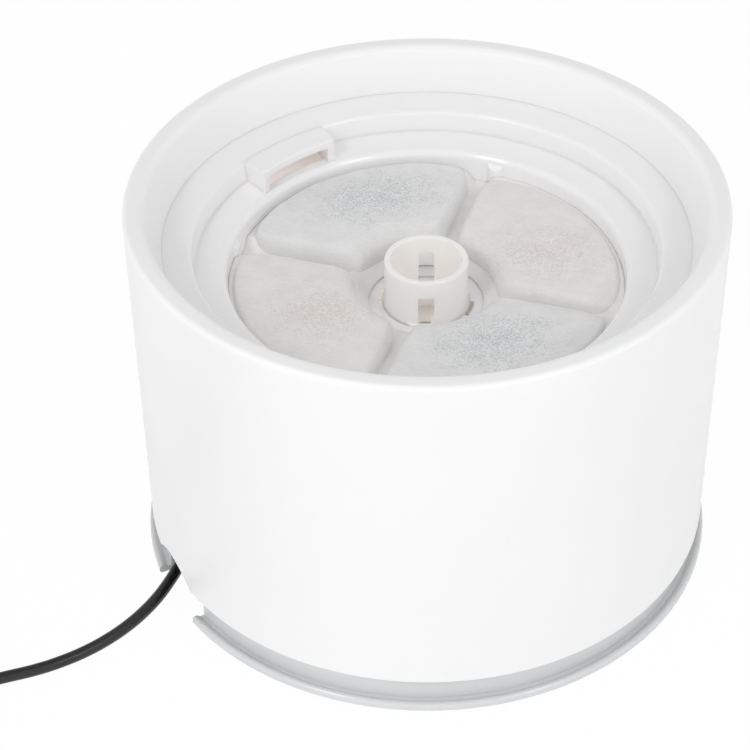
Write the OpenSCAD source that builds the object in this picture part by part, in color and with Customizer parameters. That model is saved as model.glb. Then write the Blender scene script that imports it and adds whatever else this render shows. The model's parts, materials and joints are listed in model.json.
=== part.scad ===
// Pet water fountain with its drinking lid taken off.
// A round drum hides a tank that hangs from its bowl wall. A stepped tray drops into the drum's
// mouth and carries a filter of four pouches around a twist-locked collar. A small submersible
// pump stands on the tank floor, and its low-voltage lead leaves through a gap in the grey foot.
// Millimetres, +Z up. The origin is on the floor under the drum's axis, and -Y is the front.

/* [Drum] */
// Outer radius of the drum at its rim
drum_r = 95; // [92:0.5:99]
// How much the drum narrows down to its lower edge
drum_draft = 0.7; // [0.2:0.1:1.5]
// Height of the rim above the floor
drum_h = 133; // [128:1:145]
// Height of the drum's lower edge above the floor
skirt_z = 12.7; // [11:0.1:14]
// Wall thickness of the skirt, the tank and the tank floor
drum_wall = 2.2; // [1.8:0.1:2.6]
// Width of the rolled rim, from its outer edge to the bowl
rim_w = 7.2; // [6.6:0.1:8]
// Depth of the drinking bowl, from the rim down to the tray's edge
bowl_depth = 15.4; // [12:0.2:18]
// How much the bowl's wall closes in from the rim to the tray's edge
bowl_taper = 3.9; // [3:0.1:5]
// Width of the shelf that carries the tray
shelf_w = 2.8; // [2.4:0.1:3.4]
// How much the tank narrows from the shelf to its floor
tank_draft = 2; // [1:0.1:3]
// Height of the tank floor's upper face above the floor
tank_floor_z = 24.4; // [23.5:0.1:27]

/* [Filter tray] */
// Wall thickness of the tray
tray_wall = 2.2; // [1.8:0.1:2.4]
// Width of the upper ledge
ledge_w = 9.2; // [8.4:0.1:10]
// Fall of the upper ledge towards the middle
ledge_fall = 2.1; // [1.4:0.1:2.6]
// Height of the riser between the two ledges
riser_h = 7.2; // [6.8:0.1:8.4]
// Fall of the lower ledge towards the filter
step_fall = 1.7; // [1.2:0.1:2.2]
// Radius of the filter's cavity
cavity_r = 63.9; // [63.2:0.1:64.8]
// Depth of the filter's cavity below its lip
cavity_depth = 15.4; // [14:0.2:18]
// Direction of the overflow window, in degrees from +X
window_az = 131.3; // [125:0.1:138]
// Angle that the overflow window spans
window_span = 22; // [16:0.5:26]
// Height of the overflow window above the cavity's lip
window_h = 5.6; // [4.6:0.1:5.9]

/* [Collar] */
// Outer radius of the collar tube
collar_r = 13.5; // [12.5:0.1:14]
// Wall thickness of the collar tube
collar_wall = 2; // [1.5:0.1:2.5]
// Height of the collar above the cavity's floor
collar_rise = 17; // [14:0.5:20]
// Width of the two slots in the collar
slot_w = 5.1; // [4:0.1:7]
// Height of the two slots above the cavity's floor
slot_h = 11; // [8:0.5:13]
// How far the two bayonet lugs stand out of the collar
lug_out = 1.8; // [1.4:0.1:2.2]
// Angle that one bayonet lug spans
lug_span = 26; // [18:1:30]
// Angle through which the collar turns from locked to released
collar_turn = 45; // [38:1:55]

/* [Filter] */
// Room between the filter's frame and the cavity's wall
filter_room = 0.8; // [0.6:0.1:1.4]
// Radius of the hole in the middle of the filter
filter_hole_r = 18.6; // [17:0.1:20]
// Radius of the frame's inner ring
hub_ring_r = 23.6; // [22.6:0.1:25]
// Width of the frame's outer ring
outer_ring_w = 5; // [4:0.1:6]
// Thickness of the frame
frame_h = 4; // [3:0.1:4.6]
// Width of the frame's four spokes
spoke_w = 6; // [5:0.1:8]
// Direction of the first spoke, in degrees from +X
spoke_az = 73; // [68:0.5:78]
// How far the pouches stay inside the frame's edge
pouch_inset = 1.6; // [1.4:0.1:3]
// Height of the pouches above the frame
pouch_h = 8; // [5:0.1:9]
// Width of the valleys between the pouches
valley_w = 4.6; // [4:0.1:7]

/* [Foot] */
// How far the foot's flange stands out past the rim
foot_out = 0.7; // [0.2:0.1:4]
// Height of the foot's underside above the floor
foot_z = 0.6; // [0.4:0.1:1]
// Wall thickness of the foot
foot_wall = 2.2; // [1.8:0.1:2.5]
// Height of the foot's wall above the floor
foot_wall_top = 17.6; // [15.5:0.1:19]
// Direction of the gap for the lead, in degrees from +X
gap_az = -151.5; // [-154:0.5:-149]
// Width of the gap for the lead
gap_w = 27; // [24:0.5:30]
// Width of the arch for the lead in the drum's lower edge
arch_w = 25; // [20:0.5:28]
// Height of the arch for the lead
arch_h = 5.6; // [4:0.1:7]
// Radius of one rubber pad
pad_r = 6.5; // [5:0.1:8]
// Radius of the circle that the screws stand on
screw_circle_r = 62; // [60:0.5:66]
// Length of one foot screw below its head
screw_l = 13; // [11:0.5:15]

/* [Pump] */
// Width of the pump
pump_w = 42; // [38:0.5:48]
// Height of the pump's body
pump_h = 36; // [33:0.5:39]
// Depth of the pump's body behind its cover
pump_d = 32; // [30:0.5:36]
// Depth of the pump's cover
cover_d = 10; // [8.5:0.1:12]
// Height of the suction cups under the pump
cup_h = 5; // [4.5:0.1:6]
// Radius of the impeller
impeller_r = 10.6; // [9:0.1:11.2]
// Number of blades on the impeller
blade_count = 6; // [4:1:8]
// Radius of the rotor magnet
magnet_r = 6.2; // [5.5:0.1:6.6]
// Length of the rotor magnet
magnet_l = 15; // [12:0.5:16]
// Radius of the ceramic shaft
shaft_r = 1; // [0.8:0.1:1.2]
// Outer radius of the outlet nozzle
nozzle_r = 4.5; // [4:0.1:5]
// Height of the outlet nozzle above the pump's body
nozzle_h = 13; // [10:0.5:14]

/* [Lead] */
// Radius of the lead
lead_r = 2; // [1.8:0.1:2.2]
// Radius of the coil, at the middle of its turns
coil_r = 24; // [22:0.5:26]
// Width of the USB plug's moulded grip
plug_w = 15.7; // [14:0.1:17]
// Length of the USB plug's moulded grip
plug_l = 22; // [18:0.5:26]

/* [Hidden] */

$fn = 96;
// Gap between faces that rest on each other, and between pieces that slide or turn
seat_gap = 0.05;
slide_gap = 0.3;
run_gap = 0.05;
// Room around the tray's edge, which the bowl's tapered wall guides down onto the flange
edge_gap = 0.12;
// Overshoot of a cut past the face that it opens
cut = 1;

// Colours
white = "#f4f4f5";
tray_white = "#eeeef2";
natural = "#ece6da";
fleece = "#dcd8d2";
foot_grey = "#c9cbc9";
black = "#1b1c1f";

// Drum levels and radii, from the rim down
rim_round = 1.6;
rim_inner_round = 3;
bowl_r = drum_r - rim_w;
tray_edge_z = drum_h - bowl_depth;
shelf_z = tray_edge_z - tray_wall - seat_gap;
shelf_r = bowl_r - bowl_taper;
tank_r = shelf_r - shelf_w;
tank_foot_r = tank_r - tank_draft;
tank_round = 4;
drum_foot_r = drum_r - drum_draft;
skirt_in_r = drum_foot_r - drum_wall;
bowl_foot_r = shelf_r + drum_wall;
socket_h = 4;
socket_t = 1.6;
tank_under_z = tank_floor_z - drum_wall;

// Tray radii and levels, from its edge inwards
tray_r = shelf_r - edge_gap;
riser_r = tray_r - ledge_w;
ledge_z = tray_edge_z - ledge_fall;
step_z = ledge_z - riser_h;
lip_z = step_z - step_fall;
cavity_z = lip_z - cavity_depth;
tray_under_z = cavity_z - tray_wall;
step_round = 1.4;
lip_round = 2.5;
cavity_draft = 0.6;
hub_hole_r = collar_r + slide_gap;
riser_out_r = riser_r + tray_wall;
riser_taper = 0.4;
seam_r = riser_r - riser_taper - step_round * (1 - sqrt(0.5));
seam_z = step_z + step_round * (1 - sqrt(0.5));
box_r = cavity_r + lip_round - 0.4;
box_wall = 2;
box_jamb = 2.2;
box_fall = 0.4;
key_r = 4;
key_in_r = cavity_r - 1.3;
key_circle_r = key_in_r + key_r;
key_sunk = 0.2;
key_azs = [spoke_az - 4.5, spoke_az + 94, spoke_az + 177, spoke_az - 100];
drain_in_r = 29;
drain_out_r = cavity_r - 7.4;
drain_rings = 4;
drain_step = (drain_out_r - drain_in_r) / (drain_rings - 1);
drain_slot_w = 3.4;
drain_slots = 12;
drain_span = 22;

// Collar
notch_az = 165;
notch_span = lug_span + 4;
lug_h = 1.8;
collar_top_z = cavity_z + collar_rise;
bead_out = 0.7;
bead_h = 0.8;
catch_out = 1;
catch_h = 3.9;

// Filter
filter_r = cavity_r - filter_room;
pouch_r = filter_r - pouch_inset;
filter_z = cavity_z + seat_gap;
backing_z = cavity_z + slide_gap;
frame_top_z = filter_z + frame_h;
backing_t = 0.8;
pouch_in_r = hub_ring_r + 1;
pouch_round = 3;
window_in_r = hub_ring_r + 0.6;
window_out_r = filter_r - outer_ring_w;

// Foot and its fixings
foot_r = drum_r + foot_out;
foot_wall_r = drum_foot_r - drum_wall - 2 * slide_gap;
foot_plate_z = foot_z + foot_wall;
gap_in_r = foot_r - 16.7;
boss_r = 5.4;
boss_joint_z = 12;
boss_az = 20;
screw_r = 1.75;
screw_head_r = 3.4;
screw_head_h = 2.2;
screw_seat_z = 4.8;
pad_circle_r = foot_r - 15.7;
pad_recess = 1.2;

// Pump, with its axle along Y
pump_z = tank_floor_z + cup_h;
pump_top_z = pump_z + pump_h;
axle_z = pump_z + pump_h / 2;
pump_split_y = -6;
pump_back_y = pump_split_y + pump_d;
chamber_r = impeller_r + 1.4;
chamber_d = 11;
well_r = magnet_r + 0.6;
well_d = magnet_l + 3.2;
well_end_y = pump_split_y + chamber_d + well_d;
well_wall = 1.2;
inlet_r = chamber_r - 4;
grille_slot = 2.2;
grille_pitch = 4.6;
pump_wall = 2.4;
core_y = pump_split_y + chamber_d + pump_wall + 1;
core_d = 9;
pocket_rim = 5.4;
core_room = 1.1;
core_w = pump_w - 2 * (pump_wall + core_room + 2.5);
core_h = pump_h - 2 * (pocket_rim + core_room);
core_leg = 2.6;
core_slot_w = 2.8;
core_slot_h = core_h - 9;
winding_t = 1;
gland_r = 3;
gland_l = 5;
impeller_y = pump_split_y + 1;
blade_l = 8;
blade_t = 1.6;
hub_r = 3.4;
magnet_y = impeller_y + blade_l + 1;
nozzle_bore_r = 3;
cup_r = 6;
cup_pin_r = 2;
cup_pin_l = 4;
cup_cap_r = cup_pin_r + 1.4;
cup_neck_r = cup_pin_r + 0.4;
cup_cap_h = 1.4;
cup_x = pump_w / 2 - 7;
cup_front_y = pump_split_y + 7;
cup_back_y = pump_back_y - 7;
bushing_r = 2.6;
bushing_l = 2.4;
bushing_wall = 1.3;
cover_plate_t = 2;
front_bushing_y = pump_split_y - seat_gap - bushing_l - 0.2;
collar_foot_z = pump_top_z + slide_gap;
cup_floor_z = pump_top_z + nozzle_h + slide_gap;
cup_wall = 1.6;
cup_l = nozzle_h - 3;

// Lead. The route runs from the pump, over an arch, down through the tank floor and out
// through the gap in the foot. The first list ends under the clamp, where the second begins.
lead_z = foot_plate_z + lead_r + 0.1;
rest_z = lead_r + 0.1;
grommet_x = -47;
grommet_y = 36;
gland_x = -10;
gland_z = 38;
clamp_x = -64;
clamp_y = 3;
clamp_az = 62.8;
clamp_h = 5.6;
clamp_screw_y = 6.4;
clamp_screw_r = 1.05;
pump_route = [
    [gland_x, pump_back_y + gland_l - 1, gland_z], [-10.3, 34, gland_z],
    [-12.5, 39, gland_z], [-17.5, 43.6, gland_z], [-24.5, 46, gland_z - 0.1], [-32, 45, 37.2],
    [-39, 42, 36], [-43, 39, 34.6], [-46, 36.8, 31],
    [grommet_x, grommet_y, 26.4], [grommet_x, grommet_y, 20], [grommet_x, grommet_y, 14.4],
    [-47.6, 34.8, 9.7], [-49.3, 31.5, 6.3], [-51.6, 27, lead_z], [-57, 16.6, lead_z],
    [clamp_x, clamp_y, lead_z]
];
floor_route = [
    [clamp_x, clamp_y, lead_z], [-70.8, -10.2, lead_z], [-77.4, -22.9, lead_z],
    [-82.6, -33.2, 4.7], [-85.6, -39.8, 3.6], [-89, -46.4, 2.6], [-93.2, -53.1, rest_z],
    [-98.2, -59.9, rest_z], [-103.9, -65.9, rest_z], [-110.3, -71.2, rest_z],
    [-117.4, -75.7, rest_z], [-125, -79.4, rest_z], [-134, -82.8, rest_z + 0.2],
    [-146, -87, rest_z + 0.5], [-158, -90, rest_z + 0.7], [-166, -91.3, rest_z + 0.7],
    [-172, -91.7, rest_z + 0.7]
];
lead_sides = 10;
route_steps = 2;

// Coil, tie and plug
coil_x = -178;
coil_y = -60;
lead_d = 2 * lead_r;
coil_in_r = coil_r - 2.5 * lead_d;
coil_out_r = coil_r + 2.5 * lead_d;
coil_lift = 0.8;
coil_top_z = coil_lift + lead_d * (1 + sqrt(3) / 2);
tie_w = 7;
tie_t = 0.7;
tail_r = coil_r + 1.5 * lead_d;
plug_h = 7.8;
plug_y = coil_y + coil_out_r - 6.5;
plug_x = coil_x - tail_r;
plug_z = plug_h / 2;
upper_z = coil_top_z - lead_r;
tail_route = [
    [plug_x, coil_y - 1, upper_z], [plug_x, coil_y + 3.5, upper_z + 0.2],
    [plug_x, coil_y + 7, upper_z + 0.5], [plug_x, coil_y + 10.5, upper_z + 0.6],
    [plug_x, coil_y + 14, upper_z + 0.6], [plug_x, coil_y + 17, upper_z],
    [plug_x, coil_y + 20.5, plug_z + 1.3], [plug_x, coil_y + 24, plug_z + 0.4],
    [plug_x, plug_y, plug_z]
];
shell_w = 12;
shell_h = 4.5;
shell_l = 12;
shell_t = 0.4;

// Points of an arc in the XY plane, from angle a to angle b
function arc(x, y, r, a, b, n = 6) =
    [for (i = [0:n]) [x + r * cos(a + (b - a) * i / n), y + r * sin(a + (b - a) * i / n)]];

function unit(v) = v / norm(v);

// One point of a smooth curve through b and c, with a and d as its neighbours
function spline_point(a, b, c, d, t) =
    0.5 * (2 * b + (c - a) * t + (2 * a - 5 * b + 4 * c - d) * t * t
    + (3 * b - a - 3 * c + d) * t * t * t);

// A smooth curve through every point of a route, with a number of steps between points
function smooth_route(p, steps) =
    let (last = len(p) - 1)
    concat(
        [for (i = [0:last - 1], s = [0:steps - 1])
            spline_point(p[max(i - 1, 0)], p[i], p[i + 1], p[min(i + 2, last)], s / steps)],
        [p[last]]
    );

// A side vector for every ring of a tube, turned as little as the route allows
function side_vectors(dirs, n, i = 0) =
    i == len(dirs) ? [] :
    let (m = unit(n - (n * dirs[i]) * dirs[i]))
    concat([m], side_vectors(dirs, m, i + 1));

// A round tube along a route
module tube(route, r, first_side) {
    path = smooth_route(route, route_steps);
    last = len(path) - 1;
    dirs = [for (i = [0:last]) unit(path[min(i + 1, last)] - path[max(i - 1, 0)])];
    sides = side_vectors(dirs, first_side);
    rings = [for (i = [0:last], k = [0:lead_sides - 1])
        let (a = 360 * k / lead_sides)
        path[i] + r * (cos(a) * sides[i] + sin(a) * cross(dirs[i], sides[i]))];
    walls = [for (i = [0:last - 1], k = [0:lead_sides - 1])
        let (a = i * lead_sides, n = (k + 1) % lead_sides)
        [a + k, a + lead_sides + k, a + lead_sides + n, a + n]];
    start_cap = [for (k = [0:lead_sides - 1]) k];
    end_cap = [for (k = [lead_sides - 1:-1:0]) last * lead_sides + k];
    polyhedron(rings, concat([start_cap], walls, [end_cap]), convexity = 8);
}

// Revolve of a profile over an angle that is centred on a direction
module sector(az, span) {
    rotate([0, 0, az - span / 2]) rotate_extrude(angle = span) children();
}

// Copies around the drum's axis
module around(count, az = 0) {
    for (i = [0:count - 1]) rotate([0, 0, az + i * 360 / count]) children();
}

// Ring with a rectangular section
module ring(r_out, r_in, z, h) {
    translate([0, 0, z]) difference() {
        cylinder(r = r_out, h = h);
        translate([0, 0, -cut]) cylinder(r = r_in, h = h + 2 * cut);
    }
}

// Block with its four upright edges rounded
module rounded_block(size, r) {
    x = size[0] / 2 - r;
    y = size[1] / 2 - r;
    linear_extrude(size[2]) union() {
        square([size[0] - 2 * r, size[1]], center = true);
        square([size[0], size[1] - 2 * r], center = true);
        for (i = [-1, 1], j = [-1, 1]) translate([i * x, j * y]) circle(r);
    }
}

// Cylinder along Y, starting at y
module rod_y(r, y, l) {
    translate([0, y, axle_z]) rotate([-90, 0, 0]) cylinder(r = r, h = l);
}

// Drum: skirt, rolled rim and bowl wall in one moulding
module drum() {
    color(white) difference() {
        rotate_extrude() polygon(drum_profile());
        lead_arch();
    }
}

function drum_profile() =
    let (
        skirt_top_r = drum_r - drum_wall,
        roof_z = drum_h - drum_wall - 0.6
    )
    concat(
        [[drum_foot_r, skirt_z]],
        arc(drum_r - rim_round, drum_h - rim_round, rim_round, 0, 90),
        arc(bowl_r + rim_inner_round, drum_h - rim_inner_round, rim_inner_round, 90, 170),
        [[shelf_r, tray_edge_z + 0.4], [shelf_r, shelf_z + seat_gap]],
        [[bowl_foot_r, shelf_z + seat_gap], [bowl_foot_r, shelf_z + socket_h + 1]],
        [[bowl_r + drum_wall, drum_h - rim_inner_round - 1], [bowl_r + drum_wall + 0.6, roof_z]],
        [[skirt_top_r - 0.4, roof_z], [skirt_top_r, roof_z - 1.4], [skirt_in_r, skirt_z]]
    );

// Tank: its flange carries the tray, and a socket on the flange takes the foot of the bowl wall
module tank() {
    color(white) difference() {
        union() {
            rotate_extrude() polygon(tank_profile());
            around(4, boss_az) translate([screw_circle_r, 0, boss_joint_z])
                cylinder(r = boss_r, h = tank_under_z - boss_joint_z + cut);
        }
        around(4, boss_az) translate([screw_circle_r, 0, boss_joint_z - cut])
            cylinder(r = screw_r + run_gap, h = screw_l - 4);
        translate([grommet_x, grommet_y, tank_under_z - cut])
            cylinder(r = 2 * lead_r + run_gap, h = drum_wall + 2 * cut);
    }
}

function tank_profile() =
    let (
        round_r = tank_foot_r - tank_round,
        round_z = tank_floor_z + tank_round,
        socket_r = bowl_foot_r + seat_gap,
        socket_out_r = socket_r + socket_t
    )
    concat(
        [[tank_r, shelf_z]],
        arc(round_r, round_z, tank_round, 0, -90),
        [[0, tank_floor_z], [0, tank_under_z]],
        arc(round_r, round_z, tank_round + drum_wall, -90, 0),
        [[tank_r + drum_wall, shelf_z - drum_wall - 3], [socket_out_r, shelf_z - drum_wall]],
        [[socket_out_r, shelf_z + socket_h], [socket_r, shelf_z + socket_h], [socket_r, shelf_z]]
    );

// Round-topped arch through the skirt, over the lead
module lead_arch() {
    r = (arch_w * arch_w / 4 + arch_h * arch_h) / (2 * arch_h);
    rotate([0, 0, gap_az - 1]) translate([tank_r + 4, 0, skirt_z + arch_h - r])
        rotate([0, 90, 0]) cylinder(r = r, h = drum_r - tank_r);
}

// Filter tray: lower ledge, filter cavity with keys and drains, and the collar's hub
module filter_tray() {
    color(tray_white) difference() {
        union() {
            difference() {
                rotate_extrude() polygon(tray_profile());
                overflow_drain();
            }
            for (az = key_azs) rotate([0, 0, az]) cavity_key();
        }
        tray_drains();
        bayonet_notches();
    }
}

function tray_profile() =
    let (
        wall_r = cavity_r - cavity_draft,
        out_r = cavity_r + tray_wall
    )
    concat(
        riser_foot(-45, -90),
        arc(cavity_r + lip_round, lip_z - lip_round, lip_round, 90, 180),
        arc(wall_r - step_round, cavity_z + step_round, step_round, 0, -90),
        [[hub_hole_r, cavity_z], [hub_hole_r, tray_under_z]],
        [[wall_r - 1, tray_under_z], [out_r - 0.6, tray_under_z + 2]],
        [[out_r, lip_z - tray_wall], [riser_out_r - 1, step_z - tray_wall]],
        [[riser_out_r, step_z - tray_wall + 1], [riser_out_r, seam_z]]
    );

// Hollow rounding between the lower ledge and the riser, which the tray and its rim share
function riser_foot(a, b) =
    arc(riser_r - riser_taper - step_round, step_z + step_round, step_round, a, b, 3);

// Rim of the tray: riser and upper ledge, which rests on the tank's flange
module tray_rim() {
    color(tray_white) rotate_extrude() polygon(rim_profile());
}

function rim_profile() =
    let (seat_in_r = tank_r - slide_gap - 0.6)
    concat(
        [[tray_r, tray_edge_z - tray_wall], [tray_r, tray_edge_z]],
        arc(riser_r + step_round, ledge_z - step_round, step_round, 90, 180),
        riser_foot(0, -45),
        [[riser_out_r, seam_z], [riser_out_r, ledge_z - tray_wall]],
        [[seat_in_r, tray_edge_z - tray_wall]]
    );

// Opening in the lower ledge, under the overflow box
module overflow_drain() {
    out_r = seam_r + slide_gap;
    sector(window_az, window_span) polygon([
        [box_r + box_wall, lip_z - 2 * tray_wall], [box_r + box_wall, step_z + cut],
        [out_r, step_z + cut], [out_r, lip_z - 2 * tray_wall]
    ]);
}

// Overflow box over that opening: roof, two jambs and a front wall with the window
module overflow_box() {
    span = window_span + 2 * box_jamb * 180 / (PI * box_r);
    back_r = riser_r + step_round + seat_gap;
    roof_z = ledge_z - box_fall;
    sunk = tray_wall / 3;
    color(tray_white) difference() {
        sector(window_az, span) polygon([
            [box_r, lip_z - sunk], [box_r, roof_z - 0.8], [box_r + 0.2, roof_z - 0.2],
            [box_r + 0.8, roof_z], [back_r, ledge_z], [back_r, step_z - sunk]
        ]);
        rotate_extrude() polygon(tray_profile());
        rotate_extrude() polygon(rim_profile());
        sector(window_az, window_span) polygon([
            [box_r + box_wall, lip_z - lip_round - cut], [box_r + box_wall, roof_z - box_wall],
            [back_r + cut, roof_z - box_wall], [back_r + cut, lip_z - lip_round - cut]
        ]);
        sector(window_az, window_span) translate([box_r - cut, lip_z - lip_round - cut])
            square([box_wall + 2 * cut, lip_round + cut + window_h]);
    }
}

// Key beside a spoke of the filter: a rounded rib down the cavity's wall, whose top slopes into
// the lip. A notch in the filter's frame meets it. The four stand unevenly, so that the filter
// goes in one way only
module cavity_key() {
    foot_z = cavity_z - key_sunk;
    back_r = cavity_r + lip_round - 1;
    intersection() {
        rotate_extrude() polygon([
            [key_in_r, foot_z], [key_in_r, lip_z - lip_round - 2], [back_r, lip_z - 0.3], [back_r, foot_z]
        ]);
        translate([key_circle_r, 0, foot_z]) cylinder(r = key_r, h = cavity_depth);
    }
}

// Four rings of slots in the cavity's floor
module tray_drains() {
    for (i = [0:drain_rings - 1]) around(drain_slots, spoke_az + 15) sector(0, drain_span)
        translate([drain_in_r + i * drain_step - drain_slot_w / 2, tray_under_z - cut])
            square([drain_slot_w, tray_wall + 2 * cut]);
}

// Two notches in the hub that let the collar's lugs through
module bayonet_notches() {
    around(2, notch_az) sector(0, notch_span)
        translate([collar_r - 1, tray_under_z - cut])
            square([lug_out + 1.2, tray_wall + 2 * cut]);
}

// Collar: a tube that is locked under the tray's hub. A cup inside it takes the pump's outlet,
// and two slots let water out above the filter
module riser_collar() {
    lug_az = notch_az - collar_turn;
    slot_z = cavity_z - slide_gap;
    color(natural) {
        difference() {
            union() {
                rotate_extrude() polygon(collar_profile());
                around(2, lug_az) sector(0, lug_span)
                    translate([collar_r - 0.5, tray_under_z - slide_gap - lug_h])
                        square([lug_out + 0.5, lug_h]);
            }
            translate([-slot_w / 2, -collar_r - cut, slot_z])
                cube([slot_w, 2 * (collar_r + cut), slot_h + slide_gap]);
        }
        translate([slot_w / 2 - catch_out, 0.3 - collar_r, slot_z])
            cube([catch_out + 0.4, collar_wall - 0.6, catch_h]);
    }
}

function collar_profile() =
    let (
        bore_r = collar_r - collar_wall,
        cup_in_r = nozzle_r + slide_gap,
        bead_z = cavity_z + seat_gap
    )
    concat(
        [[bore_r, collar_foot_z], [collar_r, collar_foot_z]],
        [[collar_r, bead_z], [collar_r + bead_out, bead_z], [collar_r, bead_z + bead_h]],
        arc(collar_r - 0.5, collar_top_z - 0.5, 0.5, 0, 90, 3),
        arc(bore_r + 0.4, collar_top_z - 0.4, 0.4, 90, 180, 3),
        [[bore_r, cup_floor_z + cup_wall], [nozzle_bore_r + 0.4, cup_floor_z + cup_wall]],
        [[nozzle_bore_r + 0.4, cup_floor_z], [cup_in_r, cup_floor_z], [cup_in_r, cup_floor_z - cup_l]],
        [[cup_in_r + cup_wall, cup_floor_z - cup_l], [cup_in_r + cup_wall, cup_floor_z]],
        [[bore_r, cup_floor_z]]
    );

// Filter frame: outer ring with notches for the keys, inner ring and four spokes. Its lower edge
// is chamfered, to clear the rounding at the cavity's foot
module filter_frame() {
    edge_z = filter_z + step_round;
    color(fleece) difference() {
        rotate_extrude() polygon([
            [filter_hole_r, filter_z], [filter_r - step_round, filter_z], [filter_r, edge_z],
            [filter_r, frame_top_z], [filter_hole_r, frame_top_z]
        ]);
        for (i = [0:3]) pouch_cut(i) ring(window_out_r, window_in_r, backing_z + backing_t, frame_h);
        ring(window_out_r, window_in_r, filter_z - cut, backing_z + backing_t - filter_z + cut);
        for (az = key_azs) rotate([0, 0, az]) translate([key_circle_r, 0, filter_z - cut])
            cylinder(r = key_r + slide_gap, h = frame_h + 2 * cut);
    }
}

// Keeps what lies between spoke i and the next one
module pouch_cut(i, gap = spoke_w) {
    big = 2 * filter_r;
    intersection() {
        children();
        rotate([0, 0, spoke_az + 90 * i])
            translate([gap / 2, gap / 2, 0]) cube([big, big, 2 * drum_h]);
    }
}

// Fleece disc under the pouches
module filter_backing() {
    color(fleece)
        ring(window_out_r - seat_gap, window_in_r + seat_gap, backing_z, backing_t - seat_gap);
}

// Pouch of granules in fleece: a belly in the frame's window and a crowned top over it
module pouch(i) {
    belly_z = backing_z + backing_t + seat_gap;
    top_z = frame_top_z + pouch_h;
    union() {
        pouch_cut(i, valley_w) rotate_extrude() polygon(concat(
            [[pouch_in_r, frame_top_z + seat_gap], [pouch_r, frame_top_z + seat_gap]],
            arc(pouch_r - pouch_round, top_z - pouch_round - 1, pouch_round, 0, 80),
            [[(pouch_in_r + pouch_r) / 2, top_z]],
            arc(pouch_in_r + pouch_round + 1, top_z - pouch_round - 1, pouch_round, 100, 160)
        ));
        pouch_cut(i, spoke_w + 2 * slide_gap)
            ring(window_out_r - slide_gap, window_in_r + slide_gap, belly_z, frame_top_z + 1 - belly_z);
    }
}

module carbon_pouch_back() { color("#c9c9cd") pouch(0); }
module resin_pouch_left() { color("#ddd2c8") pouch(1); }
module carbon_pouch_front() { color("#c9c9cd") pouch(2); }
module resin_pouch_right() { color("#ddd2c8") pouch(3); }

// Pump body: impeller chamber in front, rotor well behind it, pocket for the motor at the back
module pump_body() {
    color(black) difference() {
        union() {
            translate([0, pump_split_y + pump_d / 2, pump_z])
                rounded_block([pump_w, pump_d, pump_h], 4);
            translate([0, 0, pump_top_z - cut]) cylinder(r = nozzle_r, h = nozzle_h + cut);
        }
        rod_y(chamber_r, pump_split_y - cut, chamber_d + cut);
        rod_y(well_r, pump_split_y, chamber_d + well_d);
        translate([0, 0, axle_z]) cylinder(r = nozzle_bore_r, h = pump_h);
        motor_pocket();
        at_cups() cylinder(r = cup_pin_r + run_gap, h = cup_pin_l + run_gap);
    }
}

// Pocket behind the chamber, around the well
module motor_pocket() {
    front = pump_split_y + chamber_d + pump_wall;
    difference() {
        translate([-pump_w / 2 + pump_wall, front, pump_z + pocket_rim])
            cube([pump_w - 2 * pump_wall, pump_back_y - front + cut, pump_h - 2 * pocket_rim]);
        rod_y(well_r + well_wall, front - cut, well_end_y + well_wall - front + cut);
    }
}

// Places a child, pointing up, at each of the four cups' sockets
module at_cups() {
    for (x = [-cup_x, cup_x], y = [cup_front_y, cup_back_y]) translate([x, y, pump_z]) children();
}

// Pump cover: hollow front with an inlet grille and a plate that carries the front bushing
module pump_cover() {
    back_y = pump_split_y - seat_gap;
    front_y = back_y - cover_d;
    plate_y = back_y - cover_plate_t;
    inner_w = pump_w - 2 * pump_wall;
    inner_h = pump_h - 2 * pump_wall;
    color(black) difference() {
        union() {
            difference() {
                translate([0, (front_y + back_y) / 2, pump_z])
                    rounded_block([pump_w, cover_d, pump_h], 3.5);
                translate([-inner_w / 2, front_y + pump_wall, pump_z + pump_wall])
                    cube([inner_w, plate_y - front_y - pump_wall, inner_h]);
                rod_y(inlet_r, plate_y - cut, cover_d);
                for (i = [-3:3])
                    translate([i * grille_pitch - grille_slot / 2, front_y - cut, pump_z + 6])
                        cube([grille_slot, pump_wall + 2 * cut, pump_h - 12]);
            }
            for (a = [0, 120, 240]) translate([0, plate_y, axle_z]) rotate([0, a, 0])
                translate([-0.9, 0, bushing_r]) cube([1.8, cover_plate_t, inlet_r - bushing_r + 0.5]);
            rod_y(bushing_r + bushing_wall, front_bushing_y - 1, back_y - front_bushing_y + 1);
        }
        rod_y(bushing_r + run_gap, front_bushing_y - run_gap, cover_d);
        rod_y(shaft_r + slide_gap, front_bushing_y - 2, cover_d);
    }
}

// Impeller: hub with straight blades
module impeller() {
    color("#e4e4e4") difference() {
        union() {
            rod_y(hub_r, impeller_y, blade_l + 1);
            rod_y(magnet_r, impeller_y + blade_l, 1);
            for (i = [0:blade_count - 1])
                translate([0, impeller_y, axle_z]) rotate([0, i * 360 / blade_count, 0])
                    translate([-blade_t / 2, 0, 0]) cube([blade_t, blade_l + 0.5, impeller_r]);
        }
        rod_y(shaft_r + run_gap, impeller_y - cut, blade_l + 3 * cut);
    }
}

// Ring magnet behind the impeller
module rotor_magnet() {
    color("#3a3b3f") difference() {
        rod_y(magnet_r, magnet_y, magnet_l);
        rod_y(shaft_r + run_gap, magnet_y - cut, magnet_l + 2 * cut);
    }
}

// Fixed ceramic shaft
module impeller_shaft() {
    front = pump_split_y - 2;
    color("#f2efe8") rod_y(shaft_r, front, well_end_y - 0.2 - front);
}

// Rubber bushing in the cover, which slides over the shaft's front end
module front_bushing() {
    color("#2b2c2e") bushing(front_bushing_y, shaft_r + run_gap);
}

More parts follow.
